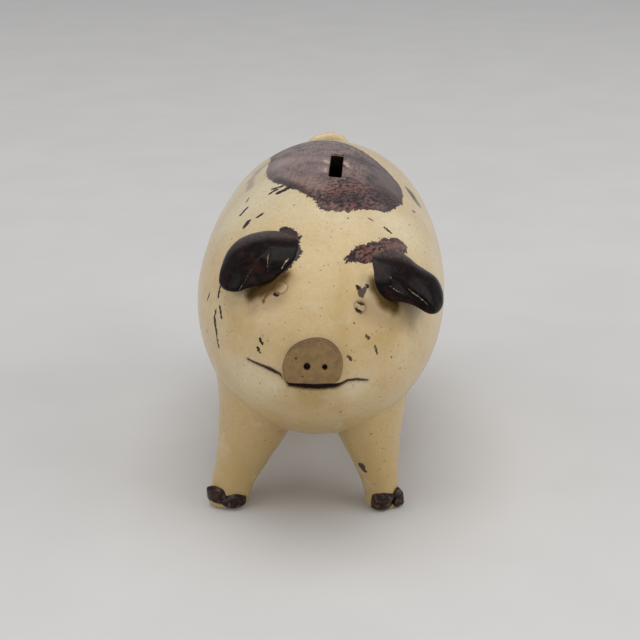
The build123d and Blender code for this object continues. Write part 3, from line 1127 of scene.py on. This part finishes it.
def manganese(s):
    """How much of the skin the manganese painting covers, and its colour."""
    around, along, patch, tone = [s.field(name) for name in ("round", "along", "patch", "tone")]
    skin_place = s.joined(around, along, 0.0)
    bristle = s.noise(1, 3, 0.6, s.stretch((0.8, 7, 1), 28, skin_place))
    front = s.band(along, 4, -12)
    flank = s.band(around, 10, 26)
    left_flank = flank * s.band(along, -32, -24)
    ear_root = s.band(along, -39, -43) * s.band(around, 6, -2)
    calm = s.band(front, 0, 1, 0.3, 1) * s.band(flank, 0, 1, 1, 0.35) * s.band(ear_root, 0, 1, 5, 1.5)
    edge = ragged(s, "patch", bristle, calm)
    edge = edge + (s.noise(2.4, 2) - 0.5) * 3
    edge = edge + (s.noise(0.9, 3, 0.6) - 0.5) * 2.2

    # Thin and streaked across the back, slate on the left flank, red and netted towards the head
    streak = s.noise(1, 4, 0.7, s.stretch((0.7, 9, 1), 4, skin_place))
    blotch = s.noise(1, 4, 0.65, s.stretch((3.5, 8, 1), 8, skin_place))
    net = s.noise(1, 4, 0.7, s.stretch((1.3, 2.6, 1), 35, skin_place))
    cloud = s.noise(8, 3, 0.6)
    netted = s.band(front, 0, 1, 0.15, 0.95)
    brush_side = s.band(around, -3, -9) * s.band(along, 10, 0) * s.band(patch, 6, 2.5, 0, 0.8)
    pooled = s.band(edge, 2.2, 0.7) * s.band(s.noise(4, 2), 0.36, 0.5)
    pooled = pooled * s.math("MAXIMUM", front, left_flank * 0.6)
    paint = s.coats(
        PAINT_THIN,
        (s.band(streak, 0.36, 0.64), PAINT_THICK),
        (s.band(blotch, 0.5, 0.64, 0, 0.75), PAINT_DARK),
        (s.band(blotch, 0.46, 0.34, 0, 0.5), PAINT_ROSE),
        (left_flank * 0.85, PAINT_SLATE),
        (front * s.band(left_flank, 0, 1, 1, 0.25) * s.band(cloud, 0.62, 0.42), PAINT_RED),
        (netted * s.band(net, 0.42, 0.36, 0, 0.6), PAINT_ROSE),
        (netted * s.band(net, 0.48, 0.55), PAINT_DARK),
        (s.band(cloud, 0.5, 0.66) * 0.6, PAINT_DARK),
        # Paler where the tone washes are pale: partly uneven paint, partly a painted sheen on the top of
        # the patch
        (s.band(tone, 0, 1, 0, 0.7), PAINT_PALE_AND_SHEEN),
        (s.band(tone, 0, -0.9, 0, 0.75), PAINT_DARK),
        (s.band(patch, 6, 0.5, 0, 0.3), PAINT_DARK),
        (brush_side, PAINT_DARK),
        (ear_root * 0.8, PAINT_ROOT),
        (pooled * 0.55, PAINT_DARK),
    )
    return s.band(edge, -0.1, 0.25), paint


def cream_glaze():
    """Cream slip under a yellowish clear glaze, with the manganese painting over it, and painted shade
    under the ears, in the mouth and inside.
    """
    s = Shader("cream_glaze")
    mid = s.noise(7, 3)
    tone = s.field("tone")
    color = s.coats(
        CREAM,
        (s.band(s.noise(26, 2), 0.4, 0.6), WARM),
        # Ochre deepening towards the bottom, set by height: partly glaze pooled low, partly painted shade
        (s.band(s.height(), 92, 25) * 0.68, OCHRE),
        (s.band(tone, 0.0, -1, 0, 0.8), OCHRE),
        (s.band(mid, 0.5, 0.72) * 0.35, OCHRE),
        (s.band(s.noise(11, 3, 0.6), 0.58, 0.72) * 0.5, MILKY),
        # Paler towards the top, set by height: painted light
        (s.band(s.height(), 88, 125, 0, 0.4), PALE),
        (s.band(tone, 0.0, 1, 0, 0.9), PALE),
        (s.band(s.noise(1.3, 4, 0.65), 0.35, 0.7) * 0.24, TAN),
    )

    # Specks of iron that burst through the slip, in two sizes
    for size, low, high, strength in ((2.1, 0.1, 0.17, 0.75), (6.5, 0.06, 0.09, 0.9)):
        keep = s.band(s.cells(size, "Color"), 0.55, 0.6)
        dot = s.band(s.cells(size), high, low)
        color = s.blend(dot * keep * strength, color, SPECK)

    # Painted shadow in the creases under the ears' lower edges
    ear_crevice_shadow = s.band(ragged(s, "ear_crevice_shadow", s.noise(3, 3), 2), -2.6, 1.2, 0, 0.97)
    covered, paint = manganese(s)
    color = s.coats(
        color,
        (s.band(ragged(s, "haze", s.noise(3, 3), 3), -1.5, 1.2, 0, 0.5), HAZE_MAUVE),
        # Soft painted shade below the ears
        (s.band(ragged(s, "under_ear_shade", s.noise(4, 3), 3), -5, 3, 0, 0.55), UNDER_EAR_SHADE_OLIVE),
        (ear_crevice_shadow, EAR_CREVICE_SHADOW_BROWN),
        (covered, paint),
    )

    # Small marks, the eyes' rings, the mouth with painted shade in its groove, the inside painted dark as
    # shade, and the craze lines
    shake = s.noise(1.1, 4, 0.7)
    painted = s.math("MAXIMUM", covered, ear_crevice_shadow)
    for kind, tint, strength in MARK_TINTS:
        mark = s.band(ragged(s, kind, shake, 2.8), -0.1, 0.15)
        color = s.blend(mark * strength, color, tint)
        painted = s.math("MAXIMUM", painted, mark)
    craze = s.cells(4.2, "Distance", "DISTANCE_TO_EDGE")
    color = s.coats(
        color,
        (s.band(ragged(s, "wear_and_glint", shake, 3), -0.2, 0.4, 0, 0.6), (0.55, 0.43, 0.3)),
        (s.band(ragged(s, "ring", s.noise(1.6, 2), 1), -0.55, 0, 0, 0.7), (0.17, 0.095, 0.045)),
        (s.band(ragged(s, "mouth", s.noise(1.5, 3), 1.6), -1.1, 0.2, 0, 0.5), (0.2, 0.1, 0.05)),
        # Painted shade, near black, down the middle of the mouth's groove
        (s.band(ragged(s, "mouth", shake, 0.5), -0.15, 0.2, 0, 0.95), (0.02, 0.012, 0.012)),
        # The inside and the slot's wall, painted near black as shade
        (s.field("inside"), (0.012, 0.008, 0.006)),
        (s.band(craze, 0.035, 0.0, 0, 0.1), (0.25, 0.16, 0.08)),
    )
    gloss = s.band(painted, 0, 1, 0.5, 0.14) * s.band(ear_crevice_shadow, 0, 1, 1, 0.1)
    return s.finish(color, 0.24, Normal=s.bump(mid, 0.24), IOR=1.45, Specular_IOR_Level=gloss)


def dark_glaze():
    """Thick manganese glaze, near black, thinning to brown, with a painted sheen near the root and rear
    edge, and cream lines at edges that are partly wear and partly painted highlight.
    """
    s = Shader("dark_glaze")
    mid = s.noise(4.5, 4, 0.6)
    # How much painted sheen there is, near the ears' roots and along their rear edges
    painted_sheen = s.band(ragged(s, "painted_sheen", s.noise(3, 4, 0.7), 0.3), 0.35, -0.15)
    mottled = s.blend(s.band(s.noise(1.1, 3, 0.7), 0.42, 0.58), (0.12, 0.095, 0.082), (0.06, 0.045, 0.04))
    color = s.coats(
        (0.004, 0.003, 0.003),
        (s.band(mid, 0.42, 0.66), (0.01, 0.005, 0.0045)),
        (s.band(s.noise(6, 4, 0.7), 0.5, 0.68, 0, 0.7), (0.032, 0.011, 0.008)),
        (painted_sheen * 0.55, mottled),
        # Cream lines along the ears' folds and lower rim: partly worn glaze, partly painted highlight
        (s.band(ragged(s, "wear_and_glint", s.noise(0.7, 3), 0.4), -0.12, 0.1, 0, 0.75), (0.5, 0.38, 0.25)),
    )
    return s.finish(color, 0.2, Normal=s.bump(mid, 0.3), IOR=1.18)


def toe_glaze():
    """Glassy brown, with amber glints painted low on the toes, and chipped to the clay near the ground.
    """
    s = Shader("toe_glaze")
    mid = s.noise(1.6, 4, 0.6)
    chip = s.height() + (s.noise(1.2, 3) - 0.5) * 2.4
    color = s.coats(
        (0.008, 0.004, 0.003),
        (s.band(mid, 0.45, 0.65), (0.055, 0.02, 0.011)),
        # Painted amber glints, in spots towards the ground
        (s.band(mid, 0.56, 0.64) * s.band(s.height(), 5, 2.5), (0.16, 0.055, 0.015)),
        (s.band(chip, 1.3, 0.8) * 0.8, (0.34, 0.25, 0.14)),
    )
    normal = s.bump(mid, 0.35)
    return s.finish(color, 0.12, Normal=normal, IOR=1.3, Coat_Weight=0.12, Coat_Roughness=0.04)


def bare_clay():
    """Olive-brown fired clay, wiped clean of slip, with brown wash at its upper rim and painted shade in
    its holes.
    """
    s = Shader("bare_clay")
    mid = s.noise(3.2, 4, 0.6)
    fine = s.noise(0.5, 4, 0.7)
    wash = s.band(ragged(s, "rim", s.noise(1.5, 3), 3), 1.3, 0.4) * s.band(s.field("height"), 2, 7)
    color = s.coats(
        (0.275, 0.172, 0.062),
        (s.band(mid, 0.36, 0.66), (0.205, 0.125, 0.045)),
        (s.band(fine, 0.42, 0.7) * 0.4, (0.12, 0.068, 0.028)),
        (wash * 0.55, (0.07, 0.035, 0.018)),
        # Painted shade, near black, in the nostrils and pricks
        (s.band(s.field("hole"), 0.15, -0.2), (0.01, 0.006, 0.004)),
    )
    return s.finish(color, 0.5, Normal=s.bump(fine * 0.5 + mid, 0.25), IOR=1.45)


# --- Stage ---
FLOOR_SIZE = 8
SKY_TINT = (0.98, 0.985, 1)
SKY_STRENGTH = 0.38
# Name, place, size in metres and power in watts
SOFTBOXES = [
    ("overhead", (0, -0.1, 2.3), (1.8, 1.8), 24.5),
    ("front", (0, -1.6, 1.0), (1.4, 1.0), 2),
    ("left", (-1.4, -0.7, 0.85), (1.5, 1.2), 7),
    ("right", (1.4, -0.35, 0.8), (1.5, 1.2), 10),
]
CAMERA_PITCH = math.radians(20)
CAMERA_YAW = math.radians(-2.45)
CAMERA_DISTANCE = 620.8
CAMERA_AIM = MIDDLE + (-0.7, 0, -12.9)
LENS = 85


def make_stage():
    mesh = bpy.data.meshes.new("floor")
    half = FLOOR_SIZE / 2
    corners = [(-half, -half, 0), (half, -half, 0), (half, half, 0), (-half, half, 0)]
    mesh.from_pydata(corners, [], [(0, 1, 2, 3)])
    floor = bpy.data.objects.new("floor", mesh)
    bpy.context.scene.collection.objects.link(floor)
    s = Shader("floor")
    tone = s.band(s.noise(60, 2), 0.3, 0.7)
    mesh.materials.append(s.finish(s.blend(tone, (0.60, 0.59, 0.58), (0.62, 0.61, 0.60)), 0.7))

    world = bpy.data.worlds.new("studio")
    world.use_nodes = True
    background = world.node_tree.nodes["Background"]
    background.inputs["Color"].default_value = (*SKY_TINT, 1)
    background.inputs["Strength"].default_value = SKY_STRENGTH
    bpy.context.scene.world = world


def add_softbox(name, place, size, power):
    light = bpy.data.lights.new(name, "AREA")
    light.shape = "RECTANGLE"
    light.size, light.size_y = size
    light.energy = power
    softbox = bpy.data.objects.new(name, light)
    softbox.location = Vector(place)
    target = Vector((MIDDLE * MM).tolist())
    softbox.visible_camera = False
    softbox.rotation_euler = (target - softbox.location).to_track_quat("-Z", "Y").to_euler()
    bpy.context.scene.collection.objects.link(softbox)


def make_camera():
    level = math.cos(CAMERA_PITCH)
    x, y = math.sin(CAMERA_YAW) * level, math.cos(CAMERA_YAW) * level
    view = np.array([x, y, -math.sin(CAMERA_PITCH)])
    camera = bpy.data.objects.new("camera", bpy.data.cameras.new("camera"))
    camera.location = Vector(((CAMERA_AIM - view * CAMERA_DISTANCE) * MM).tolist())
    camera.rotation_euler = Vector(view).to_track_quat("-Z", "Y").to_euler()
    camera.data.lens = LENS
    camera.data.sensor_width = 36
    camera.data.clip_start = 0.01
    bpy.context.scene.collection.objects.link(camera)
    bpy.context.scene.camera = camera


cream = cream_glaze()
make_body(cream)
make_legs(cream)
make_tail(cream)
make_ears(dark_glaze())
make_snout(bare_clay())
make_toes(toe_glaze())
make_stage()
for softbox in SOFTBOXES:
    add_softbox(*softbox)
make_camera()
bpy.context.scene.view_settings.view_transform = "Standard"
